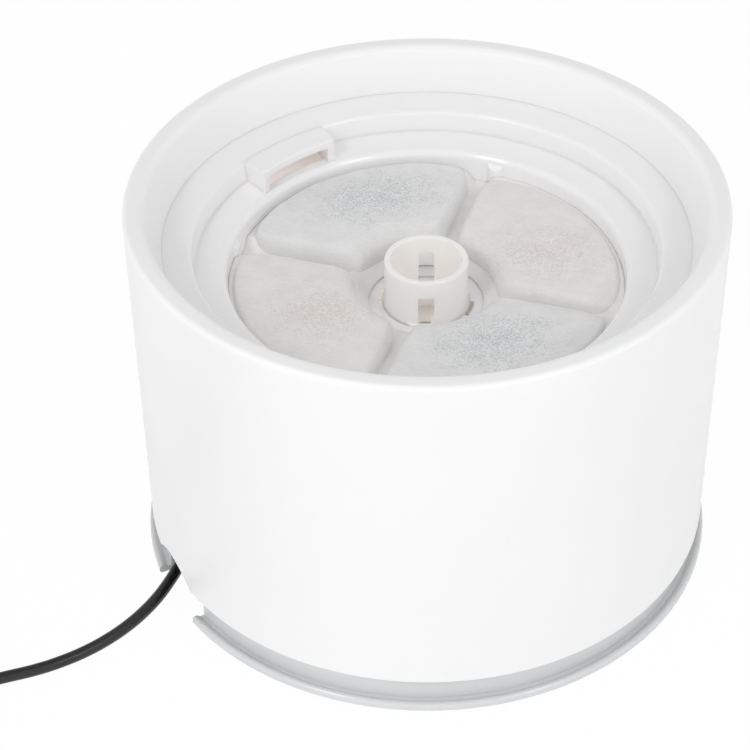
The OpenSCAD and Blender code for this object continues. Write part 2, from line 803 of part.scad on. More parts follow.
// Rubber bushing at the bottom of the well, which grips the shaft
module rear_bushing() {
    color("#2b2c2e") bushing(well_end_y - bushing_l - run_gap, shaft_r);
}

module bushing(y, bore_r) {
    difference() {
        rod_y(bushing_r, y, bushing_l);
        rod_y(bore_r, y - cut, bushing_l + 2 * cut);
    }
}

// Laminated core around the well, with a slot inside each outer leg
module stator_core() {
    color("#8d9095") difference() {
        translate([-core_w / 2, core_y, axle_z - core_h / 2]) cube([core_w, core_d, core_h]);
        rod_y(well_r + well_wall + slide_gap, core_y - cut, core_d + 2 * cut);
        for (s = [-1, 1])
            translate([s * (core_w - core_slot_w - 2 * core_leg) / 2, core_y + core_d / 2, axle_z])
                cube([core_slot_w, core_d + 2 * cut, core_slot_h], center = true);
    }
}

// Two windings on the core's outer legs
module stator_coils() {
    h = core_slot_h - 1.4;
    color("#b06a3a") for (s = [-1, 1])
        translate([s * (core_w - core_leg) / 2, core_y + core_d / 2, axle_z]) difference() {
            cube([core_leg + 2 * winding_t, core_d + 2 * winding_t, h], center = true);
            cube([core_leg + 2 * seat_gap, core_d + 2 * seat_gap, h + cut], center = true);
        }
}

// Resin that seals the motor's pocket at the back
module pump_potting() {
    front = well_end_y + well_wall + seat_gap;
    w = pump_w - 2 * (pump_wall + seat_gap);
    h = pump_h - 2 * (pocket_rim + seat_gap);
    color("#202124") difference() {
        translate([-w / 2, front, axle_z - h / 2]) cube([w, pump_back_y - front, h]);
        translate([gland_x, front - cut, gland_z]) rotate([-90, 0, 0])
            cylinder(r = gland_r + run_gap, h = 4 * cut);
    }
}

// Four rubber suction cups
module pump_cups() {
    color("#2b2c2e") at_cups() rotate_extrude() polygon([
        [0, cup_pin_l], [cup_pin_r, cup_pin_l], [cup_pin_r, -seat_gap], [cup_cap_r, -seat_gap],
        [cup_cap_r, -cup_cap_h], [cup_neck_r, -cup_cap_h - 0.4], [cup_neck_r + 0.2, -cup_h / 2],
        [cup_r, -cup_h + 0.7], [cup_r, -cup_h + seat_gap], [cup_r - 1, -cup_h + seat_gap],
        [cup_neck_r, -cup_h + 1.4], [0, -cup_h + 1.6]
    ]);
}

// Gland where the lead leaves the pump
module lead_gland() {
    root = 2;
    color(black) translate([gland_x, pump_back_y - root + seat_gap, gland_z]) rotate([-90, 0, 0])
        difference() {
            rotate_extrude() polygon([[0, 0], [gland_r, 0], [gland_r, root + 1],
                [gland_r - 0.4, root + gland_l], [0, root + gland_l]]);
            translate([0, 0, root + gland_l - 1 - seat_gap]) cylinder(r = lead_r, h = 2 * cut);
        }
}

// Rubber grommet in the tank floor
module floor_grommet() {
    neck_r = 2 * lead_r;
    color("#2b2c2e") translate([grommet_x, grommet_y, 0]) rotate_extrude() polygon([
        [lead_r, tank_under_z - 2], [neck_r + 1.4, tank_under_z - 2], [neck_r + 2, tank_under_z - 1.4],
        [neck_r + 2, tank_under_z - seat_gap], [neck_r, tank_under_z - seat_gap],
        [neck_r, tank_floor_z + seat_gap], [neck_r + 2, tank_floor_z + seat_gap],
        [neck_r + 2, tank_floor_z + 1.2], [neck_r + 1.4, tank_floor_z + 1.8], [lead_r, tank_floor_z + 1.8]
    ]);
}

// Foot: plate with an upright wall, a gutter and a raised outer lip
module foot() {
    color(foot_grey) difference() {
        union() {
            rotate_extrude() polygon(foot_profile());
            around(4, boss_az) translate([screw_circle_r, 0, foot_z])
                cylinder(r = boss_r, h = boss_joint_z - seat_gap - foot_z);
        }
        around(4, boss_az) translate([screw_circle_r, 0, 0]) {
            cylinder(r = screw_head_r + slide_gap, h = screw_seat_z);
            cylinder(r = screw_r + slide_gap, h = boss_joint_z + cut);
        }
        around(4) translate([pad_circle_r, 0, 0]) cylinder(r = pad_r + run_gap, h = foot_z + pad_recess);
        rotate([0, 0, gap_az]) translate([gap_in_r, -gap_w / 2, -cut])
            cube([foot_r - gap_in_r + cut, gap_w, foot_wall_top + 2 * cut]);
        for (s = [-1, 1]) at_clamp() translate([0, s * clamp_screw_y, 0.4 - foot_wall])
            cylinder(r = clamp_screw_r + run_gap, h = foot_wall + cut);
    }
}

function foot_profile() =
    let (inner_r = foot_wall_r - foot_wall, lip_r = 1.1, crease_z = foot_z + 1.9)
    concat(
        [[0, foot_z], [foot_r - 0.6, foot_z], [foot_r, foot_z + 0.6]],
        arc(foot_r - lip_r, foot_z + 2, lip_r, 0, 120),
        [[foot_wall_r + 1.2, crease_z + 0.1], [foot_wall_r, crease_z + 0.3]],
        [[foot_wall_r, foot_wall_top - 0.6], [foot_wall_r - 0.6, foot_wall_top]],
        [[inner_r, foot_wall_top], [inner_r, foot_plate_z + 1.5], [inner_r - 1.5, foot_plate_z]],
        [[0, foot_plate_z]]
    );

// Screws that hold the foot to the drum
module foot_screws() {
    head_z = screw_seat_z - screw_head_h - seat_gap;
    color("#b9bcc0") around(4, boss_az) translate([screw_circle_r, 0, head_z]) difference() {
        rotate_extrude() polygon([
            [0, 0], [screw_head_r - 0.8, 0], [screw_head_r, 1], [screw_head_r, screw_head_h],
            [screw_r, screw_head_h], [screw_r, screw_head_h + screw_l - 1.4],
            [0.4, screw_head_h + screw_l], [0, screw_head_h + screw_l]
        ]);
        for (a = [0, 90]) rotate([0, 0, a]) translate([-1.9, -0.45, -cut]) cube([3.8, 0.9, cut + 1.1]);
    }
}

// Rubber pads that the fountain stands on
module foot_pads() {
    color("#3b3c3e") around(4) translate([pad_circle_r, 0, 0]) rotate_extrude()
        polygon([[0, 0], [pad_r - 0.4, 0], [pad_r, 0.4], [pad_r, foot_z + pad_recess - seat_gap],
            [0, foot_z + pad_recess - seat_gap]]);
}

// Places a child on the foot's plate under the clamp, with X along the lead
module at_clamp() {
    translate([clamp_x, clamp_y, foot_plate_z]) rotate([0, 0, clamp_az]) children();
}

// Saddle that clamps the lead to the foot
module lead_clamp() {
    bore_r = lead_r + run_gap;
    bore_z = lead_z - foot_plate_z;
    color(foot_grey) at_clamp() difference() {
        translate([0, 0, seat_gap]) rounded_block([7, 19, clamp_h], 1.5);
        translate([-5, 0, bore_z]) rotate([0, 90, 0]) cylinder(r = bore_r, h = 10);
        translate([-5, -bore_r, -cut]) cube([10, 2 * bore_r, cut + bore_z]);
        for (s = [-1, 1]) translate([0, s * clamp_screw_y, -cut])
            cylinder(r = clamp_screw_r + 2 * run_gap, h = clamp_h + 2 * cut);
    }
}

// Two small screws through the clamp
module clamp_screws() {
    head_z = clamp_h + 2 * seat_gap;
    color("#b9bcc0") at_clamp() for (s = [-1, 1]) translate([0, s * clamp_screw_y, 0]) difference() {
        union() {
            translate([0, 0, 0.6 - foot_wall]) cylinder(r = clamp_screw_r, h = head_z + foot_wall);
            translate([0, 0, head_z]) cylinder(r = 2.2, h = 1.4);
        }
        translate([-1.6, -0.3, head_z + 0.7]) cube([3.2, 0.6, 2]);
    }
}

// Lead from the pump down to the clamp
module pump_lead() {
    color(black) tube(pump_route, lead_r, [1, 0, 0]);
}

// Lead from the clamp out to the coil
module cord_lead() {
    color(black) tube(floor_route, lead_r, [0, 0, 1]);
}

// The rest of the lead, wound in two layers into a coil of a little over eight turns
module cord_coil() {
    h = coil_top_z - coil_lift;
    color(black) translate([coil_x, coil_y, coil_lift]) rotate_extrude() polygon([
        [coil_in_r + 1.2, 0], [coil_out_r - 1.2, 0], [coil_out_r, 1.2], [coil_out_r, 2.8],
        [coil_out_r - 3.2, h], [coil_in_r + 3.2, h], [coil_in_r, 2.8], [coil_in_r, 1.2]
    ]);
}

// End of the lead, from the coil to the plug
module cord_tail() {
    color(black) tube(tail_route, lead_r, [1, 0, 0]);
}

// Tie around the coil
module coil_tie() {
    w = coil_out_r - coil_in_r;
    loose = 0.6;
    color("#3b3c3e") translate([coil_x, coil_y, 0]) rotate([0, 0, 60])
        translate([0, tie_w / 2, 0]) rotate([90, 0, 0]) linear_extrude(tie_w)
            translate([coil_in_r, 0]) difference() {
                tie_outline(w, loose + tie_t, 0, coil_top_z + tie_t);
                tie_outline(w, loose, tie_t, coil_top_z + seat_gap);
            }
}

// Outline of the tie around the coil's section, from z0 to z1
module tie_outline(w, side, z0, z1) {
    polygon([[-side, z0], [w + side, z0], [w + side, z1 - 4.5], [w - 2.6, z1], [2.6, z1],
        [-side, z1 - 4.5]]);
}

// Moulded grip of the USB plug, with a ribbed neck
module plug_grip() {
    color(black) difference() {
        union() {
            translate([plug_x, plug_y + plug_l, 0]) plug_block(plug_w, plug_h, plug_l - 7, 2);
            translate([plug_x, plug_y + 7.1, 0]) plug_block(plug_w - 5, plug_h - 1, 3.6, 1.6);
            translate([plug_x, plug_y, plug_z]) rotate([-90, 0, 0]) cylinder(r = 3.1, h = 5);
        }
        translate([plug_x, plug_y - cut, plug_z]) rotate([-90, 0, 0]) cylinder(r = lead_r, h = cut + 0.6);
        translate([plug_x, plug_y + plug_l + 0.1, 0]) plug_block(shell_w + 0.1, shell_h + 0.1, 5.1, 0.6);
    }
}

// Block of the plug that ends at the child's origin and reaches back along -Y
module plug_block(w, h, l, r) {
    translate([0, 0, plug_z]) rotate([90, 0, 0]) rounded_block([w, h, l], r);
}

// Pressed steel shell of the plug
module plug_shell() {
    y = plug_y + plug_l + shell_l;
    color("#c9ccd0") difference() {
        translate([plug_x, y, 0]) plug_block(shell_w, shell_h, shell_l + 4.9, 0.6);
        translate([plug_x, y + cut, 0])
            plug_block(shell_w - 2 * shell_t, shell_h - 2 * shell_t, shell_l + 4.5 + cut, 0.3);
        for (x = [-2.9, 2.9]) translate([plug_x + x - 1.2, y - 7.6, plug_z]) cube([2.4, 2.2, 5]);
    }
}

// White insulator inside the shell
module plug_tongue() {
    y = plug_y + plug_l - 4.3;
    color("#f2f2f2") {
        translate([plug_x - 5.4, y, plug_z - 1.8]) cube([10.8, 3, 3.6]);
        translate([plug_x - 5.4, y, plug_z - 1.8]) cube([10.8, 15.2, 1.9]);
    }
}

drum();
tank();
filter_tray();
tray_rim();
overflow_box();
riser_collar();
filter_frame();
filter_backing();
carbon_pouch_back();
resin_pouch_left();
carbon_pouch_front();
resin_pouch_right();
pump_body();
pump_cover();
impeller();
rotor_magnet();
impeller_shaft();
front_bushing();
rear_bushing();
stator_core();
stator_coils();
pump_potting();
pump_cups();
lead_gland();
floor_grommet();
foot();
foot_screws();
foot_pads();
lead_clamp();
clamp_screws();
pump_lead();
cord_lead();
cord_coil();
cord_tail();
coil_tie();
plug_grip();
plug_shell();
plug_tongue();
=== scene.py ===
# %% [markdown]
# # Pet water fountain, lid off
# The fountain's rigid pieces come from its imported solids. This lesson dresses them: it lays out the
# lead, makes the filter's fleece pouches, gives every piece a procedural finish, and lights the
# whole like a catalogue shot. Everything is in metres, in the same frame as the solids.

# %% Load the solids
import json
import math

import bpy
from mathutils import Matrix, Vector, noise


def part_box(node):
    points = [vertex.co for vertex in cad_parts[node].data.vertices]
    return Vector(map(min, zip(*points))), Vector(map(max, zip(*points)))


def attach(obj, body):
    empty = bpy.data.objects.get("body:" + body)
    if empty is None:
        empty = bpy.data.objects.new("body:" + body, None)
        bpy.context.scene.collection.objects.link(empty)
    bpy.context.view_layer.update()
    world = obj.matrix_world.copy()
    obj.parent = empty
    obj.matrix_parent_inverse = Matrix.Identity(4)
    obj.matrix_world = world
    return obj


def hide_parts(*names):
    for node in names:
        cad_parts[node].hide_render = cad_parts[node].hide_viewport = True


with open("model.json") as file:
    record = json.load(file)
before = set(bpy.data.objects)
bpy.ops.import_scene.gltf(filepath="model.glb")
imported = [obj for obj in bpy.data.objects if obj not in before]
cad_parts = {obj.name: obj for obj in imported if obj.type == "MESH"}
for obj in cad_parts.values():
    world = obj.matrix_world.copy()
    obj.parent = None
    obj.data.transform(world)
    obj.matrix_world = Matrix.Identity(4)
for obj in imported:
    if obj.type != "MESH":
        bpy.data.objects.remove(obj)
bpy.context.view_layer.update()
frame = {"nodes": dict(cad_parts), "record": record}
MM = 0.001

# %% [markdown]
# ## Camera
# A long lens from well above the front shows the bowl and the tray as clear ellipses and keeps the
# drum's sides nearly parallel. The angles say how far the camera looks down, how far it is turned
# and how far it leans. A target constraint would be easier to write, but it can't lean the frame.

# %% Camera
CAMERA_PLACE = Vector((0.0, -0.59318, 0.54555))
LOOK_DOWN = 0.6856
TURN_RIGHT = -0.0286
LEAN = -0.0157
LENS_MM = 110.65
SENSOR_MM = 36

camera = bpy.data.objects.new("Camera", bpy.data.cameras.new("Camera"))
bpy.context.scene.collection.objects.link(camera)
camera.data.lens = LENS_MM
camera.data.sensor_width = SENSOR_MM
camera.matrix_world = (
    Matrix.Translation(CAMERA_PLACE)
    @ Matrix.Rotation(-TURN_RIGHT, 4, "Z")
    @ Matrix.Rotation(math.pi / 2 - LOOK_DOWN, 4, "X")
    @ Matrix.Rotation(LEAN, 4, "Z")
)
bpy.context.scene.camera = camera
print("camera looks down", round(math.degrees(LOOK_DOWN), 1), "degrees")

# %% [markdown]
# ## Lead
# The lead is a thin round cable with a PVC sheath. It comes out from under its clamp in the foot,
# drops to the floor and runs away to the left in one loose bend. The rest of it is wound in two
# rows of turns, the upper row in the grooves of the lower one. A bevelled curve keeps the lead
# round and exactly as thick as it is, and its length can be measured. The first stretch repeats
# the route of the solid lead, so that both lie in the same place.

# %% Route from the clamp to the coil, in millimetres
LEAD_R = 2.0
PAN_Z = 4.9
REST_Z = 2.1
floor_route = [
    (-64, 3, PAN_Z), (-70.8, -10.2, PAN_Z), (-77.4, -22.9, PAN_Z), (-82.6, -33.2, 4.7),
    (-85.6, -39.8, 3.6), (-89, -46.4, 2.6), (-93.2, -53.1, REST_Z), (-98.2, -59.9, REST_Z),
    (-103.9, -65.9, REST_Z), (-110.3, -71.2, REST_Z), (-117.4, -75.7, REST_Z),
    (-125, -79.4, REST_Z), (-134, -82.8, REST_Z + 0.2), (-146, -87, REST_Z + 0.5),
    (-158, -90, REST_Z + 0.7), (-166, -91.3, REST_Z + 0.7), (-172, -91.7, REST_Z + 0.7),
]
print("points from the clamp to the coil:", len(floor_route))

# %% [markdown]
# ### Coil
# Each turn keeps one radius for three quarters of the way round and then steps over to the next
# one, as a coil wound by hand does. The lower row steps inwards, climbs at the middle, and the
# upper row steps outwards. Where a row crosses the one below, it humps over by half a millimetre.
# A spiral of even pitch is a simpler formula, but its upper row would cut into the lower one where
# they cross, and it looks like a spring.

# %% Coil, in millimetres, as a function of the angle wound so far
COIL_CENTRE = (-178.0, -60.0)
OUTER_TURN_R = 32.0
TURN_PITCH = 4.06
LOWER_Z = 2.8
UPPER_Z = 6.3
HUMP = 0.58
LOWER_TURNS = 5
CLIMB_RATE = 1.7
CLIMB_INWARD = 1.1
WOUND = 2970
WIND_STEP = 22.5


def ease(t):
    """Soft step from 0 to 1."""
    t = min(max(t, 0.0), 1.0)
    return 0.5 - 0.5 * math.cos(math.pi * t)


def coil_point(wound):
    """Radius and height of the lead after it has been wound by this many degrees."""
    turn, part = divmod(wound, 360)
    climb_from = 360 * LOWER_TURNS - 90
    inner_r = OUTER_TURN_R - TURN_PITCH * (LOWER_TURNS - 1)
    if wound <= climb_from:
        return OUTER_TURN_R - TURN_PITCH * (turn + ease((part - 270) / 90)), LOWER_Z
    if wound <= climb_from + 90:
        t = (wound - climb_from) / 90
        swing = math.sin(math.pi * t) ** 2
        r = inner_r + TURN_PITCH / 2 * ease(t) - CLIMB_INWARD * swing * (1 - t)
        return r, LOWER_Z + (UPPER_Z - LOWER_Z) * ease(CLIMB_RATE * t) + 1.5 * HUMP * swing
    upper = wound - climb_from - 180
    steps = 0 if upper < 0 else upper // 360 + ease((upper % 360) / 90)
    crossing = math.sin(math.pi * (wound % 90) / 90) ** 2 if (wound % 360) // 90 in (1, 3) else 0
    return inner_r + TURN_PITCH * (0.5 + steps), UPPER_Z + HUMP * crossing


print("turns:", WOUND / 360)

# %% Points of the coil
coil_route = [(COIL_CENTRE[0], COIL_CENTRE[1] - OUTER_TURN_R, LOWER_Z)]
for i in range(1, int(WOUND / WIND_STEP) + 1):
    r, z = coil_point(i * WIND_STEP)
    a = math.radians(-90 - i * WIND_STEP)
    coil_route.append((COIL_CENTRE[0] + r * math.cos(a), COIL_CENTRE[1] + r * math.sin(a), z))
print("points around the coil:", len(coil_route))

# %% [markdown]
# ### Tail
# The lead leaves the top row in a straight line and bends down into the plug's grip, which lies
# flat on the floor. A formula isn't worth its length for a stretch this short, so a few points
# are listed.

# %% Tail, in millimetres
TAIL_X = -208.0
TAIL_Z = 6.26
tail_route = [
    (TAIL_X, -56.5, TAIL_Z + 0.2), (TAIL_X, -53, TAIL_Z + 0.5), (TAIL_X, -49.5, TAIL_Z + 0.6),
    (TAIL_X, -46, TAIL_Z + 0.6), (TAIL_X, -43, TAIL_Z), (TAIL_X, -39.5, 5.2), (TAIL_X, -36, 4.3),
    (TAIL_X, -32.5, 3.9),
]
print("lead route points:", len(floor_route) + len(coil_route) + len(tail_route))

# %% [markdown]
# ### Round lead
# A pipe along a curve could be skinned from circles, but a curve's own bevel does it in one step.
# Handles of kind AUTO make the bends smooth, and caps close the ends. The curve stands for the
# three solid pieces of the lead and rides with the stand.

# %% Round line helper
BEVEL_STEPS = 4
CURVE_STEPS = 5


def round_line(name, route, radius):
    """One smooth open curve through a route in millimetres, as thick as the lead."""
    data = bpy.data.curves.new(name, "CURVE")
    data.dimensions = "3D"
    data.bevel_depth = 1.0
    data.bevel_resolution = BEVEL_STEPS
    data.resolution_u = CURVE_STEPS
    data.use_fill_caps = True
    spline = data.splines.new("BEZIER")
    spline.bezier_points.add(len(route) - 1)
    for point, place in zip(spline.bezier_points, route):
        point.co = Vector(place) * MM
        point.radius = radius * MM
        point.handle_left_type = point.handle_right_type = "AUTO"
    line = bpy.data.objects.new(name, data)
    bpy.context.scene.collection.objects.link(line)
    return line


print("steps along the curve between two points:", CURVE_STEPS)

# %% Free lead
lead = round_line("Lead", floor_route + coil_route + tail_route, LEAD_R)
bpy.context.view_layer.update()

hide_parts("cord_lead", "cord_coil", "cord_tail")
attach(lead, "stand")

# %% [markdown]
# ### Inner lead
# Inside the tank the same cable loops from the pump's gland to the grommet in the floor, and goes
# on under the tank to the clamp. It could be one curve with the free lead, but it is held at both
# ends, so it is no free cord, and a curve of its own keeps the two apart. The same helper makes it.

# %% Inner lead, in millimetres
inner_route = [
    (-10, 30, 38), (-10.3, 34, 38), (-12.5, 39, 38), (-17.5, 43.6, 38), (-24.5, 46, 37.9),
    (-32, 45, 37.2), (-39, 42, 36), (-43, 39, 34.6), (-46, 36.8, 31), (-47, 36, 26.4),
    (-47, 36, 20), (-47, 36, 14.4), (-47.6, 34.8, 9.7), (-49.3, 31.5, 6.3), (-51.6, 27, PAN_Z),
    (-57, 16.6, PAN_Z), (-64, 3, PAN_Z),
]
inner_lead = round_line("InnerLead", inner_route, LEAD_R)
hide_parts("pump_lead")
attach(inner_lead, "stand")
print("inner lead points:", len(inner_route))

# %% [markdown]
# ## Tools for finishes
# Colours are written as the sRGB hex values that a colour chart gives, and Blender wants them
# linear, so one function turns them. One more function adds a node with its settings and links.
# Every finish below is built with these two.

# %% Colour and node helpers


def linear(colour, alpha=1.0):
    """An sRGB hex colour as the linear numbers that Blender works in."""
    channels = [int(colour[i:i + 2], 16) / 255 for i in (1, 3, 5)]
    return (*[c / 12.92 if c <= 0.04045 else ((c + 0.055) / 1.055) ** 2.4 for c in channels], alpha)


def add(tree, kind, inputs=None, **settings):
    """One node: settings are its own properties, inputs are values or other nodes' sockets."""
    node = tree.nodes.new(kind)
    for name, value in settings.items():
        setattr(node, name, value)
    for name, value in (inputs or {}).items():
        socket = next(s for s in node.inputs if name in (s.identifier, s.name) and s.enabled)
        if isinstance(value, bpy.types.NodeSocket):
            tree.links.new(value, socket)
        else:
            socket.default_value = value
    return node


print("white is", linear("#ffffff")[:3], "and middle grey", round(linear("#808080")[0], 3))

# %% [markdown]
# ### Patterns
# A pattern is noise fixed to the piece, so that it moves with it. Its scale is worked out from a
# size in millimetres. Noise seldom leaves the stretch from 0.3 to 0.7, so a Map Range node widens
# that stretch and makes it a gloss, or a Mix node makes it a colour. An image could hold the same,
# but it would need a flat layout of every piece and would blur close up.

# %% Pattern helpers


def blank_finish(name):
    """A new material with an empty node tree."""
    finish = bpy.data.materials.new(name)
    finish.use_nodes = True
    finish.node_tree.nodes.clear()
    return finish, finish.node_tree


def speckle(tree, size_mm, detail=2.0, stretch=(1, 1, 1), turn=0.0):
    """Noise whose grains are about this many millimetres across, fixed to the piece."""
    place = add(tree, "ShaderNodeTexCoord").outputs["Object"]
    scale = [1 / (size_mm * MM) * s for s in stretch]
    turned = add(tree, "ShaderNodeMapping", {"Vector": place, "Rotation": (0, 0, math.radians(turn))})
    spread = add(tree, "ShaderNodeMapping", {"Vector": turned.outputs[0], "Scale": scale})
    grains = add(tree, "ShaderNodeTexNoise", {"Vector": spread.outputs[0], "Scale": 1.0, "Detail": detail})
    return grains.outputs["Fac"]


def between(tree, value, low, high, out_low=0.0, out_high=1.0):
    """A number moved from one range to another, and held inside the new one."""
    node = add(tree, "ShaderNodeMapRange", {
        "Value": value, "From Min": low, "From Max": high, "To Min": out_low, "To Max": out_high})
    return node.outputs["Result"]


print("grains of 0.5 mm need a scale of", round(1 / (0.5 * MM)))

# %% Colour mix and surface helpers


def tint(tree, factor, first, second):
    """Two colours mixed by a number from 0 to 1. Each may be a hex colour or a socket."""
    ends = [linear(c) if isinstance(c, str) else c for c in (first, second)]
    node = add(tree, "ShaderNodeMix", {
        "Factor_Float": factor, "A_Color": ends[0], "B_Color": ends[1]}, data_type="RGBA")
    return next(s for s in node.outputs if s.identifier == "Result_Color")


def close(tree, colour, roughness, height=None, depth_mm=0.02, **sockets):
    """The surface shader, its bump and the output."""
    inputs = {"Base Color": colour, "Roughness": roughness}
    inputs.update({name.replace("_", " "): value for name, value in sockets.items()})
    if height is not None:
        bump = add(tree, "ShaderNodeBump", {"Height": height, "Distance": depth_mm * MM, "Strength": 1.0})
        inputs["Normal"] = bump.outputs[0]
    shader = add(tree, "ShaderNodeBsdfPrincipled", inputs)
    add(tree, "ShaderNodeOutputMaterial", {"Surface": shader.outputs[0]})


print("relief of 0.02 mm is a distance of", 0.02 * MM, "m")

# %% [markdown]
# ### Moulded plastics
# The drum and tray are injection-moulded polypropylene with a satin tool finish and a very slight
# waviness where the walls cooled. White polypropylene isn't opaque: light enters a wall, scatters
# and comes out a few millimetres away, so creases stay pale and the inside glows a little, warmer
# the further the light has come. The foot is the same plastic in grey. The collar has less
# pigment. The pump is black ABS with a fine spark-eroded grain.
# Glossy paint over a matt base would be another way to a satin white, but these pieces are dyed
# right through, so one shader with a little light let in comes nearer.

# %% Moulded plastic finish
CLOUD_MM = 40
PLASTIC_IOR = 1.49


def moulded(name, colour, shade, roughness, grain_mm=0.35, grain_depth_mm=0.004, **sockets):
    """Injection-moulded plastic: cloudy colour, uneven gloss and a fine tool grain."""
    finish, tree = blank_finish(name)
    cloud = speckle(tree, CLOUD_MM, detail=1.0)
    grain = speckle(tree, grain_mm, detail=1.0)
    colours = tint(tree, between(tree, cloud, 0.35, 0.65), colour, shade)
    gloss = between(tree, cloud, 0.3, 0.7, roughness - 0.03, roughness + 0.03)
    close(tree, colours, gloss, grain, grain_depth_mm, IOR=PLASTIC_IOR, **sockets)
    return finish


def milky(share, reach_mm):
    """Settings for plastic that lets light in: how much of it, and how far it gets."""
    return {"Subsurface_Weight": share, "Subsurface_Radius": (reach_mm * MM,) * 3, "Subsurface_Scale": 1.0}


# Satin white walls, a shade glossier tray, a warmer and clearer collar, and a cool grey foot.
finishes = {
    "drum_plastic": moulded("white_polypropylene", "#f6f6f7", "#f5f5f6", 0.34, Specular_IOR_Level=0.3,
                            **milky(0.3, 2.0)),
    "tray_plastic": moulded("tray_polypropylene", "#f7f6f7", "#f6f5f6", 0.19, **milky(0.3, 2.0)),
    "collar_plastic": moulded("natural_polypropylene", "#fbf9f7", "#faf8f5", 0.2, **milky(0.6, 4.0)),
    "foot_plastic": moulded("grey_polypropylene", "#dbdcdd", "#d7d8d9", 0.24, **milky(0.2, 1.0)),
    "pump_plastic": moulded("black_abs", "#1d1e20", "#18191b", 0.42, 0.5, 0.012),
    "impeller_plastic": moulded("white_acetal", "#e9eaea", "#e4e5e6", 0.34),
    "plug_insulator": moulded("white_nylon", "#f0f0ee", "#ebebe9", 0.4),
    "potting_resin": moulded("black_epoxy", "#17181a", "#1c1d20", 0.2, 3.0, 0.05),
}
print("moulded finishes:", len(finishes))

# %% [markdown]
# ### Rubber and cable sheath
# The sheath is extruded PVC: nearly black, satin, and as even as extrusion leaves it. The cups,
# pads and grommet are moulded rubber, softer and duller, with a bloom of dust. One colour would
# look like paint, so a broad noise varies both colour and gloss.

# %% Rubber and sheath finishes
DUST_MM = 9


def soft_black(name, colour, shade, roughness, grain_mm, depth_mm, **sockets):
    """Rubber or soft PVC: a dull black that dust and handling make uneven."""
    finish, tree = blank_finish(name)
    dust = speckle(tree, DUST_MM, detail=4.0)
    grain = speckle(tree, grain_mm, detail=2.0)
    colours = tint(tree, between(tree, dust, 0.4, 0.7), colour, shade)
    gloss = between(tree, dust, 0.3, 0.7, roughness - 0.04, roughness + 0.05)
    close(tree, colours, gloss, grain, depth_mm, **sockets)
    return finish


# The sheath catches one soft line of light along its top. Rubber hardly shines at all.
finishes["lead_sheath"] = soft_black("pvc_sheath", "#131416", "#191a1d", 0.36, 0.6, 0.01, IOR=1.53)
finishes["dark_rubber"] = soft_black("silicone_rubber", "#26272a", "#303134", 0.62, 0.4, 0.02, IOR=1.41)
print("finishes with rubber and sheath:", len(finishes))

# %% [markdown]
# ### Metals, magnet and ceramic
# The screws are zinc-plated steel, the plug's shell is nickel-plated and smoother, and the motor's
# core is a stack of thin sheets whose edges show as lines. The windings are enamelled copper. The
# rotor's magnet is ground ferrite, which is a dark and dull ceramic, and the shaft is polished
# ceramic, which shines like china. Brushing could be drawn by stretching the reflection itself, but
# these pieces are small, so stretched noise in the gloss does as well.

# %% Metal, ferrite and ceramic finishes
LINE_STRETCH = 0.08


def metal(name, colour, shade, roughness, lines_mm, axis=1, depth_mm=0.01):
    """A worked metal: fine lines across one axis in its colour, gloss and relief."""
    finish, tree = blank_finish(name)
    stretch = [LINE_STRETCH] * 3
    stretch[axis] = 1.0
    lines = speckle(tree, lines_mm, detail=3.0, stretch=stretch)
    colours = tint(tree, between(tree, lines, 0.35, 0.65), colour, shade)
    gloss = between(tree, lines, 0.3, 0.7, roughness - 0.08, roughness + 0.1)
    close(tree, colours, gloss, lines, depth_mm, Metallic=1.0)
    return finish


# Zinc looks greyish, nickel a little yellow, bare core steel dark, and enamel turns copper orange.
finishes["screw_steel"] = metal("zinc_plated_steel", "#c9cdd1", "#b4b9be", 0.36, 0.3, axis=0)
finishes["plug_steel"] = metal("nickel_plated_steel", "#d3d2cd", "#c4c3bd", 0.16, 0.4, axis=0)
finishes["core_steel"] = metal("laminated_steel", "#8f9297", "#63666b", 0.45, 0.5, axis=1, depth_mm=0.08)
finishes["coil_copper"] = metal("enamelled_copper", "#c06a35", "#8e4a22", 0.38, 0.5, axis=2, depth_mm=0.12)
finishes["magnet_ferrite"] = moulded("ground_ferrite", "#3b3c40", "#303135", 0.5, 0.3, 0.02)
finishes["shaft_ceramic"] = moulded("polished_ceramic", "#f3f0e8", "#ebe8df", 0.12, 0.4, 0.002)
print("finishes with metals and ceramics:", len(finishes))

# %% [markdown]
# ### Fleece
# The filter is bonded polyester fleece, pressed hot into its shape. Up close it is a web of fine
# fibres, most of them lying across the machine's direction, and it is thin enough for the granules
# below to show. Hair particles could make real fibres, but a filter has hundreds of thousands, so
# three sets of stretched noise laid over each other at different angles give the web. Fibres are
# 0.02 mm thick, so they are drawn at 0.5 mm, much coarser, to show at all. The granules are cells
# of 0.4 mm, some dark and some with a painted glint, as if they caught the light, and they get rarer
# away from the middle of the heap, which is an ellipse.

# %% Granule helpers
GRANULE_MM = 0.4
DARK_SHARE = 0.7
# Share of granule cells that get a painted glint.
GLINT_SHARE = 0.4
HEAP_EDGE = (0.6, 1.5)
RAGGED, RAGGED_MM = 0.9, 6


def number(tree, operation, first, second):
    """Arithmetic on two numbers or sockets."""
    return add(tree, "ShaderNodeMath", {"Value": first, "Value_001": second}, operation=operation).outputs[0]


